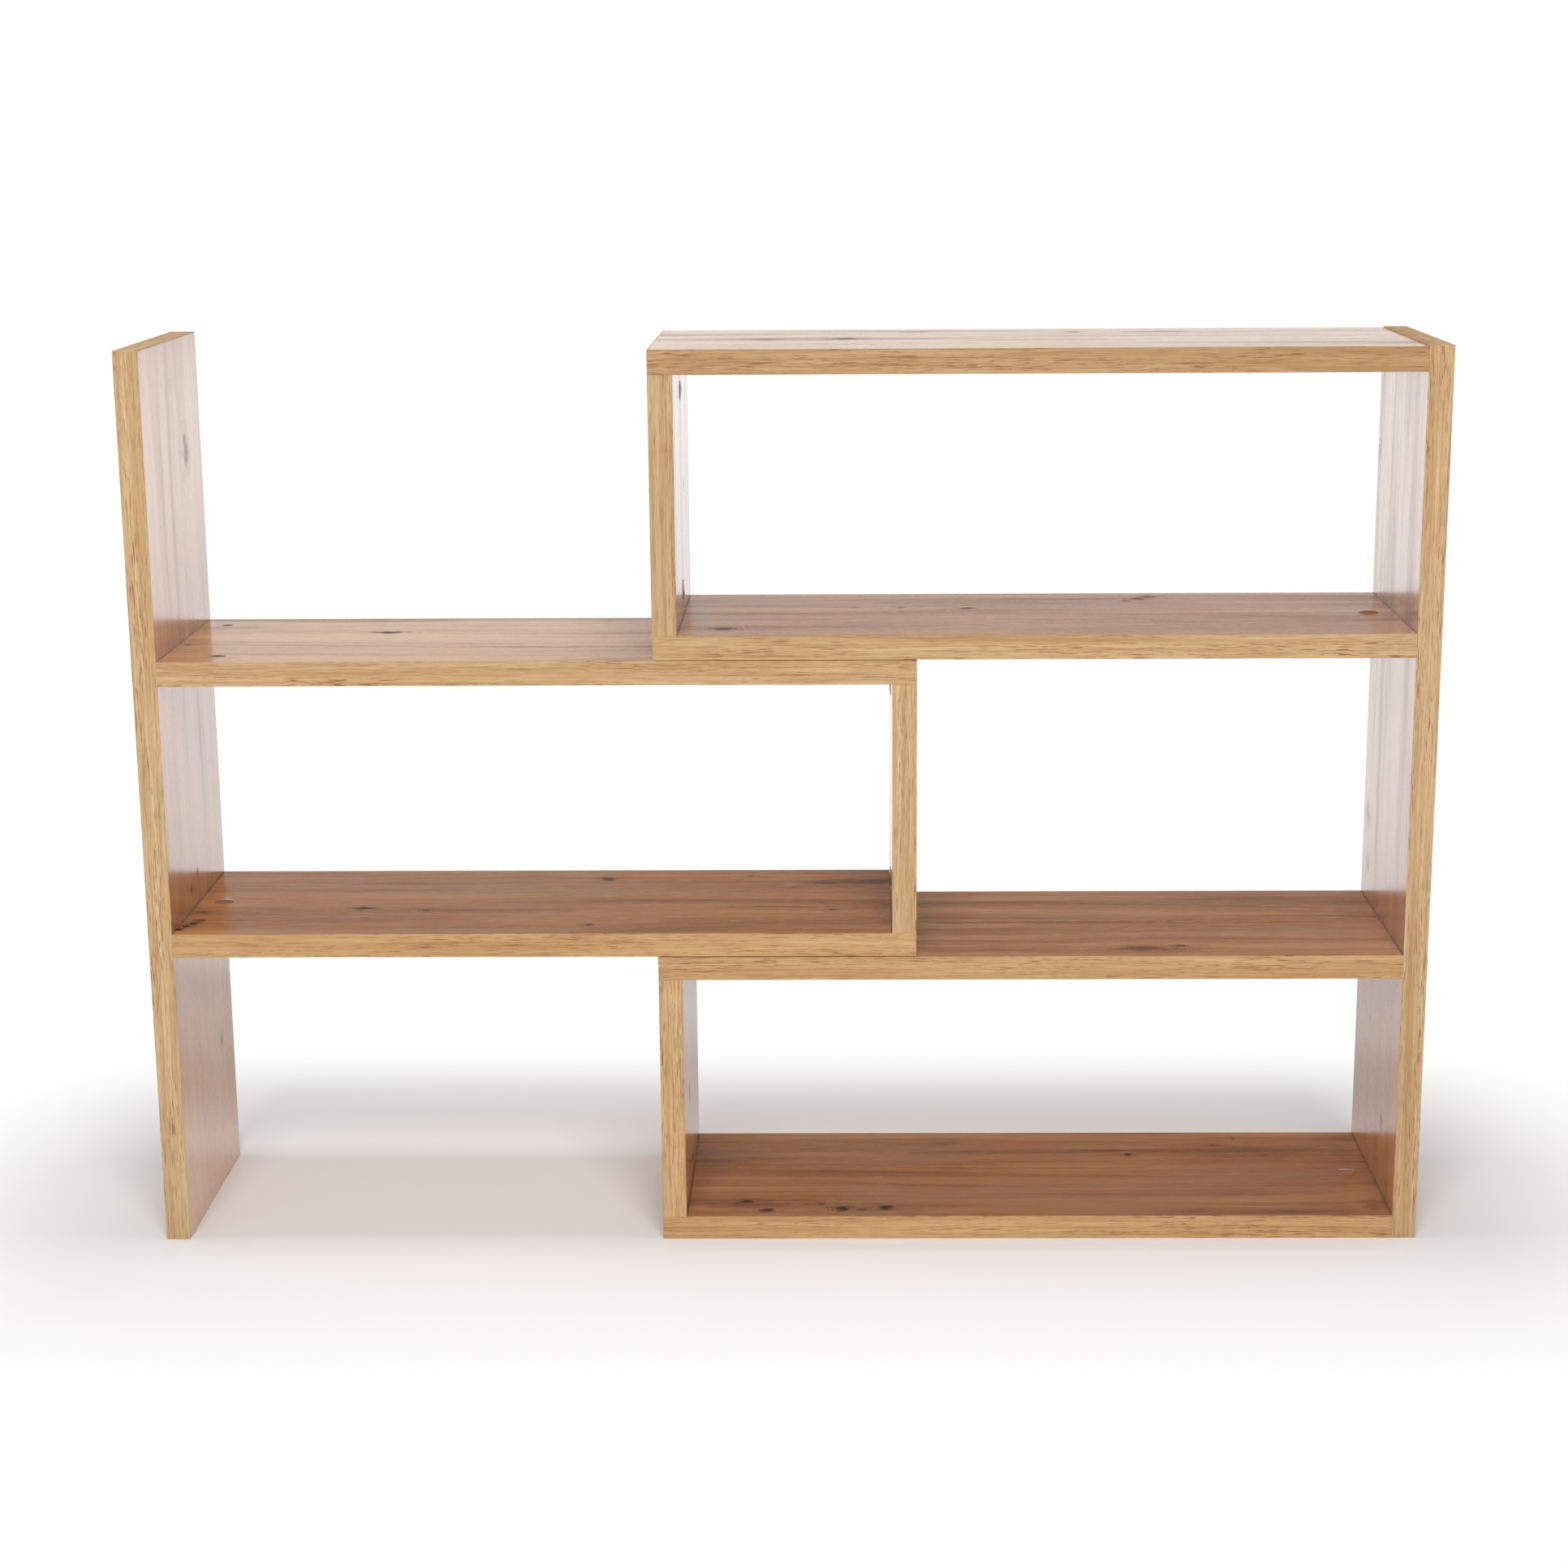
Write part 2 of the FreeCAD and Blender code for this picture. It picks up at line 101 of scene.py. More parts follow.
# Knots and smudges in millimetres: place along the grain and along Y, half length, half width; darkness
KNOTS = {
    "bottom_shelf": (
        (-41, -73, 7, 5, 0.9), (-20, -94, 8, 5, 0.9), (29, -78, 4, 3, 0.6), (50, -91, 9, 6, 0.9),
        (90, -88, 9, 6, 0.9), (68, -93, 6, 4, 0.5), (331, 49, 4, 4, 0.9), (417, 74, 4, 4, 0.6),
        (440, 91, 2, 2, 0.6), (151, 80, 14, 6, 0.3), (380, -98, 16, 6, 0.2), (549, -85, 10, 12, 0.3),
    ),
    "right_middle_shelf": (
        (362, -78, 7, 4, 0.8), (325, -86, 22, 9, 0.5), (343, 0, 4, 3, 0.5), (360, 2, 3, 2, 0.5),
        (148, 2, 18, 5, 0.35),
    ),
    "left_lower_shelf": (
        (-178, 76, 9, 7, 0.85), (-40, 85, 4, 4, 0.7), (33, 61, 14, 5, 0.5), (85, 66, 26, 7, 0.5),
        (-401, -24, 11, 5, 0.9), (-341, -30, 5, 4, 0.9), (-304, -31, 24, 5, 0.15), (-184, -80, 4, 4, 0.8),
        (41, -31, 4, 4, 0.7), (63, -23, 3, 3, 0.6), (-7, -21, 36, 1.2, 0.6), (-560, -92, 5, 5, 0.95),
        (-556, -83, 5, 6, 0.95), (-551, -74, 6, 6, 0.9), (-546, -64, 7, 4, 0.8), (-549, -36, 8, 3, 0.7),
        (-511, -62, 3, 3, 0.5),
    ),
    "left_upper_shelf": (
        (-378, 36, 18, 4, 1.0), (-378, 36, 8, 6, 0.9), (-538, 77, 5, 5, 0.9), (-513, -80, 8, 5, 1.0),
        (-553, -25, 3, 4, 0.7),
    ),
    "right_upper_shelf": (
        (321, 66, 5, 5, 0.6), (333, 78, 8, 7, 0.75), (345, 89, 11, 6, 0.75), (167, 28, 7, 5, 0.8),
        (106, 34, 5, 4, 0.6), (64, 36, 5, 3, 0.5), (-56, -74, 11, 6, 0.8),
    ),
    "top_shelf": (
        (54, 2, 14, 10, 0.8), (-18, -4, 18, 9, 0.5), (119, 74, 14, 9, 0.5), (267, 73, 8, 12, 0.4),
        (349, 71, 28, 10, 0.35), (200, -24, 40, 5, 0.3),
    ),
    "left_side_panel": (
        (719, 49, 18, 11, 0.6), (317, -27, 5, 4, 0.8), (327, 0, 5, 4, 0.8), (140, 60, 8, 6, 0.5),
    ),
    "right_side_panel": (
        (709, 102, 8, 4, 0.5), (357, 90, 12, 10, 0.4), (312, 80, 10, 8, 0.4), (90, -40, 9, 6, 0.5),
    ),
    "upper_upright": ((690, 30, 8, 5, 0.7),),
    "lower_upright": ((120, -35, 9, 6, 0.7),),
    "left_upright": ((400, 15, 9, 6, 0.7), (475, -60, 6, 4, 0.6)),
}
BOARDS = tuple(KNOTS)

# Long soft streaks in the print, and painted light and shade, given as knots are; the print is that much
# darker there, or paler where negative
STREAKS_AND_PAINTED_LIGHT = {
    "bottom_shelf": (
        (0, 72, 120, 8, 0.8), (140, 52, 60, 6, 0.8), (480, 62, 100, 20, 0.8), (-70, 40, 60, 30, 0.8),
        (0, 40, 70, 5, 0.8), (-30, -84, 50, 12, 0.8), (72, -90, 62, 14, 0.8), (200, 30, 90, 5, 0.6),
        (280, 20, 130, 12, -0.4), (150, -20, 200, 10, -0.3), (350, 75, 60, 14, -0.4),
    ),
    "right_middle_shelf": (
        (270, -1, 150, 5, 1.4), (190, 64, 90, 12, 0.4), (480, -107, 50, 3, 0.6), (330, 35, 220, 14, -0.3),
        (350, -52, 170, 12, -0.9), (345, -82, 45, 12, 0.8),
    ),
    "left_lower_shelf": (
        (70, 66, 50, 14, 0.8), (-330, -29, 60, 8, 0.2), (-10, -21, 60, 4, 0.6), (-350, 85, 180, 8, 0.3),
        (-250, 30, 220, 20, -0.3), (-60, -60, 200, 18, -0.2), (-30, 12, 150, 12, -0.8),
    ),
    "left_upper_shelf": (
        (-300, -50, 220, 12, -0.8), (-400, 0, 150, 20, -0.4), (-180, -30, 80, 20, -0.6),
        (-430, 60, 120, 14, -0.4), (-140, -90, 50, 16, 0.4),
    ),
    "right_upper_shelf": (
        (20, 20, 130, 16, -0.8), (200, 30, 120, 4, 0.4), (350, -41, 40, 8, 0.3), (20, -80, 110, 12, -0.5),
        (330, 20, 200, 16, -0.3),
    ),
    "top_shelf": ((300, 50, 220, 8, 0.4), (60, 0, 90, 14, 0.3), (250, -20, 250, 20, -0.3)),
    # Painted light: the side panels and uprights are painted paler low down and darker higher up, for the
    # floor's bounced light
    "left_side_panel": ((40, 0, 330, 300, -0.8),),
    "right_side_panel": ((40, 0, 330, 300, -0.8), (620, 0, 300, 300, 0.3)),
    "upper_upright": ((690, 0, 300, 300, 0.4),),
    "lower_upright": ((40, 0, 330, 300, -0.8),),
}

# Ranges that most values of a noise lie in, and that nearly all of them do
MOST_NOISE = (0.3, 0.7)
ALL_NOISE = (0.2, 0.8)

# Noises: waves per metre along, across and through a board, or along X, Y and Z; detail; roughness
RAGGED_NOISE = ((90, 200, 40), 3.0, 0.6)
RING_NOISE = ((50, 90, 40), 2.0, 0.55)

# Most that a mark's edge wanders: as a share of its size, and in millimetres of its half width
RAGGED_SHARE = 0.45
RAGGED_MM = 5.0

# Knots: how many sizes from the middle the core, halo and year rings end, and where each is full
KNOT_CORE = (1.25, 0.45)
KNOT_HALO = (2.2, 0.6)
HALO_SHARE = 0.22
RING_FADE = (3.4, 0.5)
RING_STEP = 3.0 * MM
RING_WOBBLE = 22.0

# Streaks: how many sizes from the middle one ends, and where it is full
STREAK_FADE = (1.4, 0.1)

# Painted joint shade, a dark line across a shelf where an upright board meets it: half width in
# millimetres, darkness, and the gap at which two boards still touch
JOINT_SHADE_MM = 1.1
JOINT_SHADE_DARKNESS = 3.0
TOUCHING = 1.0 * MM

# Oak print: its noises, and how far the grain wanders
OAK_WANDER = ((2.2, 8, 60), 1.0, 0.55)
WANDER_REACH = 30 * MM
OAK_BANDS = ((2.2, 40, 90), 2.0, 0.5)
OAK_STREAKS = ((5, 200, 90), 2.0, 0.6)
OAK_FIBRE = ((24, 1000, 90), 2.0, 0.6)
OAK_CLOUDS = ((4, 16, 20), 1.0, 0.55)
OAK_PORES = ((40, 1400, 90), 2.0, 0.5)
# How far apart in the noises two boards' prints are
PATCH_STEP = (0.37, 0.53, 0.29)
# Shares of bands, streaks and fibre in the print's tone
PRINT_SHARES = (0.50, 0.30, 0.20)
# Contrast of the tone about its middle, on boards with their grain along X and along Z
PRINT_CONTRAST = {"X": 1.25, "Z": 0.65}
MIDDLE_TONE = 0.5
STREAK_DEPTH = 0.14
RING_DEPTH = 0.10
OAK_STOPS = ((0.33, DARK_OAK), (0.45, BROWN_OAK), (0.53, TAN_OAK), (0.65, PALE_OAK))
CLOUD_RANGE = (0.45, 0.75)
CLOUD_SHARE = 0.40
PORE_RANGE = (0.58, 0.68)
PORE_SHARE = 0.4
PORE_DEPTH = 0.8
# Strength and height of the relief
OAK_RELIEF = (0.25, 0.1 * MM)

# Gloss of the laminate at a dark and at a pale tone of the print; a knot is rougher and has no coat
GLOSS_TONES = (0.38, 0.52)
OAK_ROUGHNESS = (0.30, 0.21)
COAT_WEIGHT = (0.54, 0.82)
COAT_ROUGHNESS = 0.19
KNOT_ROUGHNESS = 0.15
RESIN_IOR = 1.5
COAT_IOR = 1.6

# Edge band: noises, shares of stripes, streaks and the middle tone, colours, relief and gloss
BAND_WANDER = ((5, 40, 40), 2.0, 0.55)
BAND_WANDER_REACH = 6 * MM
BAND_STRIPES = ((3, 150, 60), 2.0, 0.6)
BAND_STREAKS = ((10, 480, 60), 3.0, 0.6)
BAND_HAIRS = ((12, 1700, 60), 2.0, 0.55)
BAND_CROWDS = ((8, 90, 30), 1.0, 0.55)
BAND_DASHES = ((62, 1700, 60), 1.0, 0.5)
BAND_SHARES = (0.36, 0.44, 0.20)
BAND_STOPS = ((0.39, BAND_TAN), (0.50, BAND_OAK), (0.61, BAND_PALE))
HAIR_RANGE = (0.48, 0.64)
HAIR_SHARE = 0.6
CROWD_RANGE = (0.35, 0.65)
CROWD_LEAST = 0.35
DASH_RANGE = (0.590, 0.615)
DASH_SHARE = 0.9
DASH_DEPTH = 0.8
BAND_RELIEF = (0.2, 0.1 * MM)
BAND_ROUGHNESS = (0.42, 0.52)

# Raw chipboard
CHIPS = ((420, 420, 420), 4.0, 0.7)
CHIP_STOPS = ((0.35, CHIPBOARD_DARK), (0.62, CHIPBOARD_PALE))
CHIP_RELIEF = (0.6, 0.6 * MM)
CHIP_ROUGHNESS = 0.85

# Plastic of the cover caps
CAP_PRINT = ((60, 500, 500), 2.0, 0.55)
CAP_MOULDING = ((2600, 2600, 2600), 2.0, 0.55)
CAP_STOPS = ((0.38, CAP_BROWN), (0.62, CAP_TAN))
CAP_RELIEF = (0.05, 0.1 * MM)
CAP_ROUGHNESS = (0.14, 0.22)

# Wood of the dowels
BEECH_FIBRE = ((120, 900, 120), 3.0, 0.55)
BEECH_STOPS = ((0.35, BEECH_DARK), (0.65, BEECH_PALE))
BEECH_RELIEF = (0.3, 0.3 * MM)
BEECH_ROUGHNESS = (0.6, 0.75)

# Metal of the cams and bolts
CASTING = ((900, 900, 900), 3.0, 0.55)
DULL_TONE = 0.35
BRIGHT_TONE = 0.6
METAL_RELIEF = (0.15, 0.2 * MM)
ZINC_ROUGHNESS = (0.35, 0.50)
STEEL_ROUGHNESS = (0.28, 0.43)

# A face is on a board's broad sides if more than this share of its normal is along the thickness
SQUARE_ON = 0.9

# Camera, at the place that the photograph was taken from
CAMERA_PLACE = (0.0614, -2.5691, 1.0278)
CAMERA_TURN_DEG = (76.832, 0.293, 0.524)
CAMERA_LENS_MM = 64.5
CAMERA_SENSOR_MM = 36
CAMERA_SHIFT = (-0.0265, -0.0104)

# Lamps: place, the point that each faces, width and height in metres, and power in watts
LAMPS = {
    "key_softbox": ((0.1, -3.2, 2.9), (0.0, 0.0, 0.4), 2.6, 1.0, 122),
    "top_softbox": ((-0.2, 0.0, 3.4), (-0.2, 0.0, 0.4), 2.4, 0.5, 30),
    "rear_softbox": ((-0.2, 3.3, 2.7), (0.0, 0.0, 0.4), 2.6, 1.0, 20),
    "near_floor_light": ((0.0, 1.95, 0.01), (0.0, 1.95, 1.0), 4.0, 2.5, 6),
    "left_floor_light": ((-1.3, 6.7, 0.01), (-1.3, 6.7, 1.0), 2.5, 7.0, 20),
    "right_floor_light": ((1.7, 6.7, 0.01), (1.7, 6.7, 1.0), 2.5, 7.0, 22),
}
# Level of the light from all round, and of the white background
AMBIENT = 0.25
WHITE_LEVEL = 1.0
# A ray's diffuse bounces are counted in whole numbers, so a count below this is none
NO_BOUNCE_BELOW = 0.5

# Dark ring high round the set that only reflections see, in metres
FLAG_RADIUS = 40.0
FLAG_CLEAR_HEIGHT = 6.2
FLAG_DARK_HEIGHT = 8.4
FLAG_TOP = 60.0
# It is raised by this much left of the first of these two places, and not at all right of the second
FLAG_RAISE = 1.6
FLAG_RAISED_X = -5.0
FLAG_LEVEL_X = -1.5

# Round floor, in metres, and how many sides it and the ring have
FLOOR_RADIUS = 60.0
CIRCLE_SIDES = 96
# The floor's shading fades to plain white between these distances from the footprint, in metres
SHADOW_NEAR = 0.05
SHADOW_FAR = 0.34
# In reflections that fade ends here instead
MIRROR_FAR = 2.0
# Half of the object's width and depth
FOOTPRINT = (cad_bounds[1][X], cad_bounds[1][Y], 0)

# Numbers of the sockets that a Mix node has for colours
MIX_SHARE, MIX_FIRST, MIX_SECOND, MIX_RESULT = (0, 6, 7, 2)


class Shader:
    """The nodes of one material, with short ways to add and join them."""

    def __init__(self, tree):
        self.tree = tree
        self.tree.nodes.clear()

    def add(self, kind, settings=None, inputs=None):
        """A new node with its settings and inputs."""
        node = self.tree.nodes.new("ShaderNode" + kind)
        for name, value in (settings or {}).items():
            setattr(node, name, value)
        for name, value in (inputs or {}).items():
            self.feed(node.inputs[name], value)
        return node

    def feed(self, socket, value):
        """Links another node's output to a socket, or sets the socket's own value."""
        if isinstance(value, bpy.types.NodeSocket):
            self.tree.links.new(value, socket)
        elif socket.type == "RGBA":
            socket.default_value = (*value, 1)
        else:
            socket.default_value = value

    def object_point(self):
        """The point on the piece, in the frame's own axes."""
        return self.add("TexCoord").outputs["Object"]

    def math(self, operation, first, second=0.0):
        return self.add("Math", {"operation": operation}, {0: first, 1: second}).outputs[0]

    def weigh(self, *terms):
        """The sum of values, each times its share."""
        total = 0.0
        for share, value in terms:
            inputs = {0: value, 1: share, 2: total}
            total = self.add("Math", {"operation": "MULTIPLY_ADD"}, inputs).outputs[0]
        return total

    def vector(self, operation, first, second=(0, 0, 0)):
        node = self.add("VectorMath", {"operation": operation}, {0: first, 1: second})
        return node.outputs["Value" if operation == "LENGTH" else "Vector"]

    def span(self, value, low, high, to_low=0.0, to_high=1.0):
        """A value eased from one range to another, and held at its ends."""
        inputs = {"Value": value, "From Min": low, "From Max": high, "To Min": to_low, "To Max": to_high}
        return self.add("MapRange", {"interpolation_type": "SMOOTHSTEP"}, inputs).outputs["Result"]

    def noise(self, point, kind):
        """Noise with given waves per metre along three axes, detail and roughness."""
        waves, detail, roughness = kind
        scaled = self.vector("MULTIPLY", point, waves)
        inputs = {"Vector": scaled, "Scale": 1.0, "Detail": detail, "Roughness": roughness}
        return self.add("TexNoise", {"noise_dimensions": "3D"}, inputs).outputs[0]

    def ramp(self, value, stops):
        """The colour at a value, from stops that each give a place and a colour."""
        node = self.add("ValToRGB", None, {"Fac": value})
        elements = node.color_ramp.elements
        while len(elements) < len(stops):
            elements.new(MIDDLE_TONE)
        for element, (place, colour) in zip(elements, stops):
            element.position = place
            element.color = (*colour, 1)
        return node.outputs["Color"]

    def mix(self, share, first, second):
        """One colour with a share of another."""
        node = self.add("Mix", {"data_type": "RGBA"})
        self.feed(node.inputs[MIX_SHARE], share)
        self.feed(node.inputs[MIX_FIRST], first)
        self.feed(node.inputs[MIX_SECOND], second)
        return node.outputs[MIX_RESULT]

    def bump(self, height, relief):
        """A normal that follows a height, with the relief's strength and distance."""
        strength, distance = relief
        inputs = {"Height": height, "Strength": strength, "Distance": distance}
        return self.add("Bump", None, inputs).outputs["Normal"]

    def surface(self, shader):
        output = self.add("OutputMaterial")
        self.tree.links.new(shader, output.inputs["Surface"])

    def principled(self, inputs):
        self.surface(self.add("BsdfPrincipled", None, inputs).outputs[0])


def new_material(name):
    """A material with an empty node tree, and the builder of its nodes."""
    material = bpy.data.materials.new(name)
    material.use_nodes = True
    return material, Shader(material.node_tree)


def tinted(colour, tint):
    """A colour times a tint, channel by channel."""
    return tuple(channel * share for channel, share in zip(colour, tint))


def tinted_stops(stops, tint):
    """The stops of a ramp with their colours tinted."""
    return [(place, tinted(colour, tint)) for place, colour in stops]


def axes_by_length(node):
    """The frame's axes from a node's longest side to its shortest."""
    low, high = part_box(node)
    size = high - low
    return sorted(AXES, key=lambda axis: -size[AXES.index(axis)])


def grain_point(shader, grain, depth):
    """The point on the piece as (along the grain, across it, through the board)."""
    across = next(axis for axis in AXES if axis not in (grain, depth))
    parts = shader.add("SeparateXYZ", None, {0: shader.object_point()}).outputs
    order = {"X": parts[grain], "Y": parts[across], "Z": parts[depth]}
    return shader.add("CombineXYZ", None, order).outputs[0]


def moved_across(shader, point, distance):
    """The point moved across the grain."""
    shift = shader.add("CombineXYZ", None, {"Y": distance}).outputs[0]
    return shader.vector("ADD", point, shift)


def reach_of(shader, point, ragged, mark):
    """How many sizes of a mark a point is from its middle, raggedly and plainly, and its offset."""
    along, across, half_length, half_width = mark
    away = shader.vector("SUBTRACT", point, (along * MM, across * MM, 0))
    scale = (1 / (half_length * MM), 1 / (half_width * MM), 0)
    plain = shader.vector("LENGTH", shader.vector("MULTIPLY", away, scale))
    uneven = min(RAGGED_SHARE, RAGGED_MM / half_width)
    stretch = shader.span(ragged, *MOST_NOISE, 1 - uneven, 1 + uneven)
    return shader.math("MULTIPLY", plain, stretch), plain, away


def add_knots(shader, point, ragged, knots):
    """Darkness of the knots at a point, how far they push the grain aside, and their year rings."""
    dark = 0.0
    push = 0.0
    rings = 0.0
    bent = shader.noise(point, RING_NOISE)
    for *mark, darkness in knots:
        *_, half_width = mark
        reach, plain_reach, away = reach_of(shader, point, ragged, mark)
        core = shader.span(reach, *KNOT_CORE, 0.0, darkness)
        halo = shader.span(reach, *KNOT_HALO, 0.0, darkness * HALO_SHARE)
        dark = shader.math("MAXIMUM", dark, shader.math("MAXIMUM", core, halo))
        weight = shader.math("DIVIDE", 1.0, shader.weigh((plain_reach, plain_reach), (1.0, 1.0)))
        side = shader.add("SeparateXYZ", None, {0: away}).outputs["Y"]
        push = shader.weigh((side, weight), (1.0, push))
        turns = 2 * math.pi * half_width * MM / RING_STEP
        phase = shader.weigh((turns, plain_reach), (RING_WOBBLE, bent))
        fade = shader.span(reach, *RING_FADE, 0.0, darkness)
        rings = shader.weigh((fade, shader.math("SINE", phase)), (1.0, rings))
    return dark, push, rings


def add_streaks_and_painted_light(shader, point, ragged, streaks):
    """How much darker the long soft streaks, the painted light and the painted joint shade make the print
    at a point.
    """
    shade = 0.0
    for *mark, darkness in streaks:
        reach, _, _ = reach_of(shader, point, ragged, mark)
        shade = shader.math("ADD", shade, shader.span(reach, *STREAK_FADE, 0.0, darkness))
    return shade


def joint_shade_lines(shelf):
    """Painted shade: dark streaks across a shelf's top, one where each upright board meets it."""
    low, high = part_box(shelf)
    middle = (low[X] + high[X]) / 2
    depth_mm = (high[Y] - low[Y]) / MM
    lines = []
    for board in BOARDS:
        near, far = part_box(board)
        stands = axes_by_length(board)[0] == "Z" and near[Z] - TOUCHING < high[Z] < far[Z]
        if stands and low[X] - TOUCHING < far[X] and near[X] < high[X] + TOUCHING:
            face = far[X] if far[X] < middle else near[X]
            lines.append((face / MM, 0, JOINT_SHADE_MM, depth_mm, JOINT_SHADE_DARKNESS))
    return tuple(lines)


def grain_flow(shader, board, point, push):
    """The point on a board's own patch of the noises, moved by the grain's wander and the knots' push."""
    patch = tuple(step * BOARDS.index(board) for step in PATCH_STEP)
    wander = shader.noise(shader.vector("ADD", point, patch), OAK_WANDER)
    aside = shader.weigh((WANDER_REACH, wander), (-1.0, push))
    return shader.vector("ADD", moved_across(shader, point, aside), patch)


def print_tone(shader, flow, fibre, contrast):
    """Tone of the oak print, from its broad bands, its streaks and its fibre."""
    layers = (shader.noise(flow, OAK_BANDS), shader.noise(flow, OAK_STREAKS), fibre)
    tone = shader.weigh(*zip(PRINT_SHARES, layers))
    return shader.weigh((contrast, tone), (1.0 - contrast, MIDDLE_TONE))


def oak_colour(shader, tone, flow, pores, tint):
    """Colour of the oak print, with grey clouds and dark pores."""
    oak = shader.ramp(tone, tinted_stops(OAK_STOPS, tint))
    cloud = shader.span(shader.noise(flow, OAK_CLOUDS), *CLOUD_RANGE, 0.0, CLOUD_SHARE)
    oak = shader.mix(cloud, oak, tinted(GREY_OAK, tint))
    return shader.mix(shader.math("MULTIPLY", pores, PORE_SHARE), oak, DARK_OAK)


def laminate(board, grain, depth):
    """Satin oak laminate: broad bands, streaks, fine pores and knots that the grain flows round, with
    painted shade at the joints and painted light on the upright boards.
    """
    material, shader = new_material(board + "_oak")
    point = grain_point(shader, grain, depth)
    ragged = shader.noise(point, RAGGED_NOISE)
    dark, push, rings = add_knots(shader, point, ragged, KNOTS[board])
    # Painted shade: dark lines where upright boards meet this shelf
    lines = joint_shade_lines(board) if grain == "X" else ()
    shade = add_streaks_and_painted_light(shader, point, ragged, STREAKS_AND_PAINTED_LIGHT.get(board, ()) + lines)
    flow = grain_flow(shader, board, point, push)

    fibre = shader.noise(flow, OAK_FIBRE)
    pores = shader.span(shader.noise(flow, OAK_PORES), *PORE_RANGE)
    tone = print_tone(shader, flow, fibre, PRINT_CONTRAST[grain])
    tone = shader.weigh((1.0, tone), (-STREAK_DEPTH, shade), (-RING_DEPTH, rings))
    oak = oak_colour(shader, tone, flow, pores, PRINT_TINTS_AND_PAINTED_SHEEN[board])

    uneven = shader.bump(shader.weigh((1.0, fibre), (-PORE_DEPTH, pores)), OAK_RELIEF)
    rough = shader.span(tone, *GLOSS_TONES, *OAK_ROUGHNESS)
    coat = shader.span(tone, *GLOSS_TONES, *COAT_WEIGHT)
    shader.principled({
        "Base Color": shader.mix(dark, oak, KNOT),
        "Roughness": shader.weigh((KNOT_ROUGHNESS, dark), (1.0, rough)),
        "IOR": RESIN_IOR,
        "Normal": uneven,
        "Coat Weight": shader.math("MULTIPLY", coat, shader.math("SUBTRACT", 1.0, dark)),
        "Coat Roughness": COAT_ROUGHNESS,
        "Coat IOR": COAT_IOR,
        "Coat Normal": uneven,
    })
    return material


def edge_band(name, grain, depth, tint):
    """Plastic edge band with an oak print: soft stripes, hairlines and dark dashes along the strip."""
    material, shader = new_material(name)
    point = grain_point(shader, grain, depth)
    wander = shader.noise(point, BAND_WANDER)
    flow = moved_across(shader, point, shader.math("MULTIPLY", wander, BAND_WANDER_REACH))

    streaks = shader.noise(flow, BAND_STREAKS)
    layers = (shader.noise(flow, BAND_STRIPES), streaks, MIDDLE_TONE)
    oak = shader.ramp(shader.weigh(*zip(BAND_SHARES, layers)), tinted_stops(BAND_STOPS, tint))
    hairs = shader.span(shader.noise(flow, BAND_HAIRS), *HAIR_RANGE, 0.0, HAIR_SHARE)
    oak = shader.mix(hairs, oak, tinted(BAND_TAN, tint))
    crowds = shader.span(shader.noise(flow, BAND_CROWDS), *CROWD_RANGE, CROWD_LEAST, 1.0)
    dashes = shader.span(shader.noise(flow, BAND_DASHES), *DASH_RANGE)
    dashes = shader.math("MULTIPLY", dashes, crowds)

    shader.principled({
        "Base Color": shader.mix(shader.math("MULTIPLY", dashes, DASH_SHARE), oak, BAND_DASH),
        "Roughness": shader.span(streaks, *ALL_NOISE, *BAND_ROUGHNESS),
        "IOR": RESIN_IOR,
        "Normal": shader.bump(shader.weigh((1.0, streaks), (-DASH_DEPTH, dashes)), BAND_RELIEF),
    })
    return material


def chipboard(name):
    """Raw chipboard, seen only in bores and at cut ends."""
    material, shader = new_material(name)
    chips = shader.noise(shader.object_point(), CHIPS)
    shader.principled({
        "Base Color": shader.ramp(chips, CHIP_STOPS),
        "Roughness": CHIP_ROUGHNESS,
        "Normal": shader.bump(chips, CHIP_RELIEF),
    })
    return material


def cap_plastic(name):
    """Brown moulded plastic of the cover caps, with a faint print of the grain."""
    material, shader = new_material(name)
    point = shader.object_point()
    moulding = shader.noise(point, CAP_MOULDING)
    shader.principled({
        "Base Color": shader.ramp(shader.noise(point, CAP_PRINT), CAP_STOPS),
        "Roughness": shader.span(moulding, *ALL_NOISE, *CAP_ROUGHNESS),
        "IOR": RESIN_IOR,
        "Normal": shader.bump(moulding, CAP_RELIEF),
    })
    return material


def dowel_wood(name):
    """Beech of the dowels."""
    material, shader = new_material(name)
    fibre = shader.noise(shader.object_point(), BEECH_FIBRE)
    shader.principled({
        "Base Color": shader.ramp(fibre, BEECH_STOPS),
        "Roughness": shader.span(fibre, *ALL_NOISE, *BEECH_ROUGHNESS),
        "Normal": shader.bump(fibre, BEECH_RELIEF),
    })
    return material


def metal(name, bright, dull, roughness):
    """Plated metal with a slightly uneven finish."""
    material, shader = new_material(name)
    cast = shader.noise(shader.object_point(), CASTING)
    shader.principled({
        "Base Color": shader.ramp(cast, ((DULL_TONE, dull), (BRIGHT_TONE, bright))),
        "Metallic": 1.0,
        "Roughness": shader.span(cast, *ALL_NOISE, *roughness),
        "Normal": shader.bump(cast, METAL_RELIEF),
    })
    return material


def set_materials(mesh, *materials):
    """Gives a mesh these materials in place of its old ones."""
    mesh.materials.clear()
    for material in materials:
        mesh.materials.append(material)


def dress_board(node, raw_board):
    """Laminate on a board's two broad sides, chipboard on its cut ends and bores."""
    grain, _, depth = axes_by_length(node)
    mesh = nodes[node].data
    set_materials(mesh, laminate(node, grain, depth), raw_board)
    for face in mesh.polygons:
        face.material_index = 0 if abs(face.normal[AXES.index(depth)]) > SQUARE_ON else 1


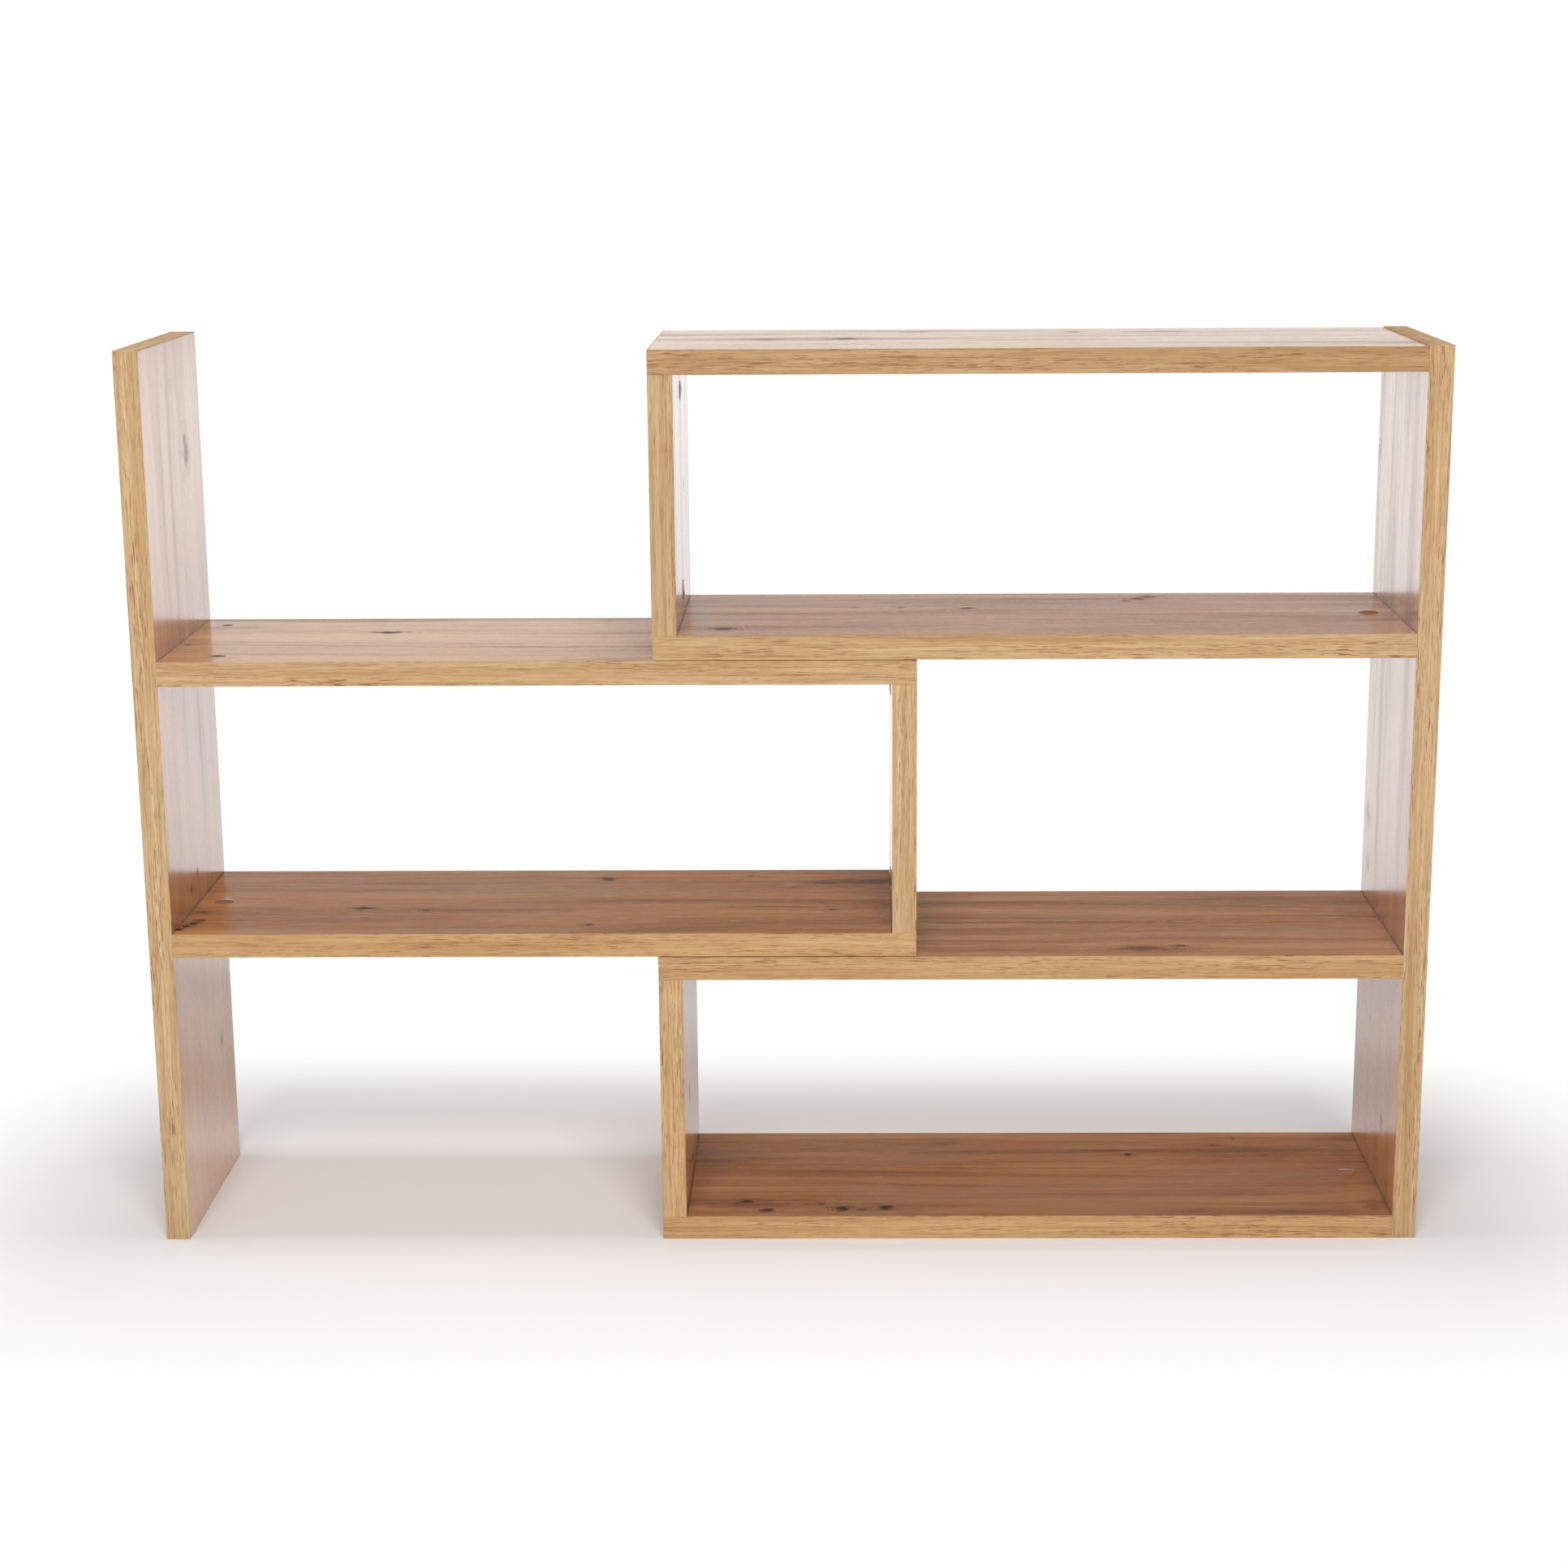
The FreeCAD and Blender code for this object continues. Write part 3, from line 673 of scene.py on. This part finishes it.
def dress_edging(board):
    """Band with its grain along each strip: the long strips, and the short ones across the board's ends."""
    node = board + "_edging"
    grain, cross, _ = axes_by_length(board)
    low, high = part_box(board)
    lane = AXES.index(grain)
    tint = BAND_TINTS[board]
    long_band = edge_band(board + "_band", grain, cross, tint)
    end_band = edge_band(board + "_end_band", cross, grain, tint)
    mesh = nodes[node].data
    set_materials(mesh, long_band, end_band)
    for face in mesh.polygons:
        face.material_index = 0 if low[lane] < face.center[lane] < high[lane] else 1


def dress_fittings():
    """Metal, wood and plastic on both units' fittings."""
    fittings = {
        "cam_discs": (metal("zinc_casting", ZINC, ZINC_DULL, ZINC_ROUGHNESS), "cam_zinc"),
        "cam_bolts": (metal("bright_steel", STEEL, STEEL_DULL, STEEL_ROUGHNESS), "bolt_steel"),
        "dowels": (dowel_wood("beech"), "dowel_wood"),
        "cover_caps": (cap_plastic("brown_cap"), "cap_plastic"),
    }
    for side in ("right_", "left_"):
        for kind, (material, slot) in fittings.items():
            node = side + kind
            set_materials(nodes[node].data, material)


def mirrored_rays(shader):
    """1 for what the camera sees by a reflection or through glass, and 0 for light on the object."""
    path = shader.add("LightPath").outputs
    mirrored = shader.math("MAXIMUM", path["Is Glossy Ray"], path["Is Transmission Ray"])
    unbounced = shader.math("LESS_THAN", path["Diffuse Depth"], NO_BOUNCE_BELOW)
    return shader.math("MULTIPLY", mirrored, unbounced)


def floor_material():
    """White floor that takes the object's shadow close by and is plain white further off."""
    material, shader = new_material("white_floor")
    beyond = shader.vector("SUBTRACT", shader.vector("ABSOLUTE", shader.object_point()), FOOTPRINT)
    outside = shader.vector("LENGTH", shader.vector("MAXIMUM", beyond, (0, 0, 0)))
    camera = shader.add("LightPath").outputs["Is Camera Ray"]
    seen = shader.math("MULTIPLY", shader.span(outside, SHADOW_NEAR, SHADOW_FAR), camera)
    mirror = shader.span(outside, SHADOW_NEAR, MIRROR_FAR)
    mirrored = shader.math("MULTIPLY", mirror, mirrored_rays(shader))
    share = shader.math("MAXIMUM", seen, mirrored)
    paint = shader.add("BsdfDiffuse", None, {"Color": FLOOR_WHITE}).outputs[0]
    white = shader.add("Emission", None, {"Color": WHITE, "Strength": WHITE_LEVEL}).outputs[0]
    shader.surface(shader.add("MixShader", None, {0: share, 1: paint, 2: white}).outputs[0])
    return material


def circle(radius):
    """Points round the origin, as x and y."""
    turns = [2 * math.pi * i / CIRCLE_SIDES for i in range(CIRCLE_SIDES)]
    return [(radius * math.cos(turn), radius * math.sin(turn)) for turn in turns]


def add_floor():
    """A round white floor under the object."""
    mesh = bpy.data.meshes.new("floor")
    rim = [(x, y, 0) for x, y in circle(FLOOR_RADIUS)]
    mesh.from_pydata(rim, [], [range(CIRCLE_SIDES)])
    mesh.materials.append(floor_material())
    floor = bpy.data.objects.new("floor", mesh)
    bpy.context.scene.collection.objects.link(floor)


def add_world():
    """A white background, and a little light from all round."""
    world = bpy.data.worlds.new("studio")
    world.use_nodes = True
    shader = Shader(world.node_tree)
    camera = shader.add("LightPath").outputs["Is Camera Ray"]
    seen = shader.math("MAXIMUM", camera, mirrored_rays(shader))
    level = shader.span(seen, 0.0, 1.0, AMBIENT, WHITE_LEVEL)
    light = shader.add("Background", None, {"Color": WHITE, "Strength": level})
    output = shader.add("OutputWorld")
    shader.tree.links.new(light.outputs[0], output.inputs["Surface"])
    bpy.context.scene.world = world


def flag_material():
    """Black cloth that fades out towards its lower edge."""
    material, shader = new_material("black_flag")
    place = shader.add("SeparateXYZ", None, {0: shader.object_point()}).outputs
    raised = shader.span(place["X"], FLAG_RAISED_X, FLAG_LEVEL_X, FLAG_RAISE, 0.0)
    height = shader.math("SUBTRACT", place["Z"], raised)
    share = shader.span(height, FLAG_CLEAR_HEIGHT, FLAG_DARK_HEIGHT)
    clear = shader.add("BsdfTransparent").outputs[0]
    cloth = shader.add("BsdfDiffuse", None, {"Color": BLACK}).outputs[0]
    shader.surface(shader.add("MixShader", None, {0: share, 1: clear, 2: cloth}).outputs[0])
    return material


def add_flag():
    """A dark ring above the horizon that only reflections see."""
    mesh = bpy.data.meshes.new("flag")
    corners = []
    for x, y in circle(FLAG_RADIUS):
        corners += [(x, y, FLAG_CLEAR_HEIGHT), (x, y, FLAG_TOP)]
    count = len(corners)
    walls = [(i, (i + 2) % count, (i + 3) % count, i + 1) for i in range(0, count, 2)]
    mesh.from_pydata(corners, [], walls)
    mesh.materials.append(flag_material())
    flag = bpy.data.objects.new("flag", mesh)
    flag.visible_camera = False
    flag.visible_diffuse = False
    flag.visible_shadow = False
    flag.visible_transmission = False
    bpy.context.scene.collection.objects.link(flag)


def add_lamp(name, place, target, width, height, power):
    """A rectangular lamp that the camera doesn't see, and reflections only if it is a floor light."""
    light = bpy.data.lights.new(name, "AREA")
    light.shape = "RECTANGLE"
    light.size = width
    light.size_y = height
    light.energy = power
    lamp = bpy.data.objects.new(name, light)
    lamp.location = place
    direction = Vector(target) - Vector(place)
    lamp.rotation_euler = direction.to_track_quat("-Z", "Y").to_euler()
    lamp.visible_camera = False
    lamp.visible_glossy = name.endswith("floor_light")
    bpy.context.scene.collection.objects.link(lamp)


def add_camera():
    """The camera at the photograph's viewing point."""
    data = bpy.data.cameras.new("camera")
    data.lens = CAMERA_LENS_MM
    data.sensor_width = CAMERA_SENSOR_MM
    data.shift_x, data.shift_y = CAMERA_SHIFT
    camera = bpy.data.objects.new("camera", data)
    camera.location = CAMERA_PLACE
    camera.rotation_euler = [math.radians(angle) for angle in CAMERA_TURN_DEG]
    bpy.context.scene.collection.objects.link(camera)
    bpy.context.scene.camera = camera


raw_board = chipboard("raw_chipboard")
for board in BOARDS:
    dress_board(board, raw_board)
    dress_edging(board)
dress_fittings()

add_floor()
add_world()
add_flag()
for name, settings in LAMPS.items():
    add_lamp(name, *settings)
add_camera()
bpy.context.scene.view_settings.view_transform = "Standard"
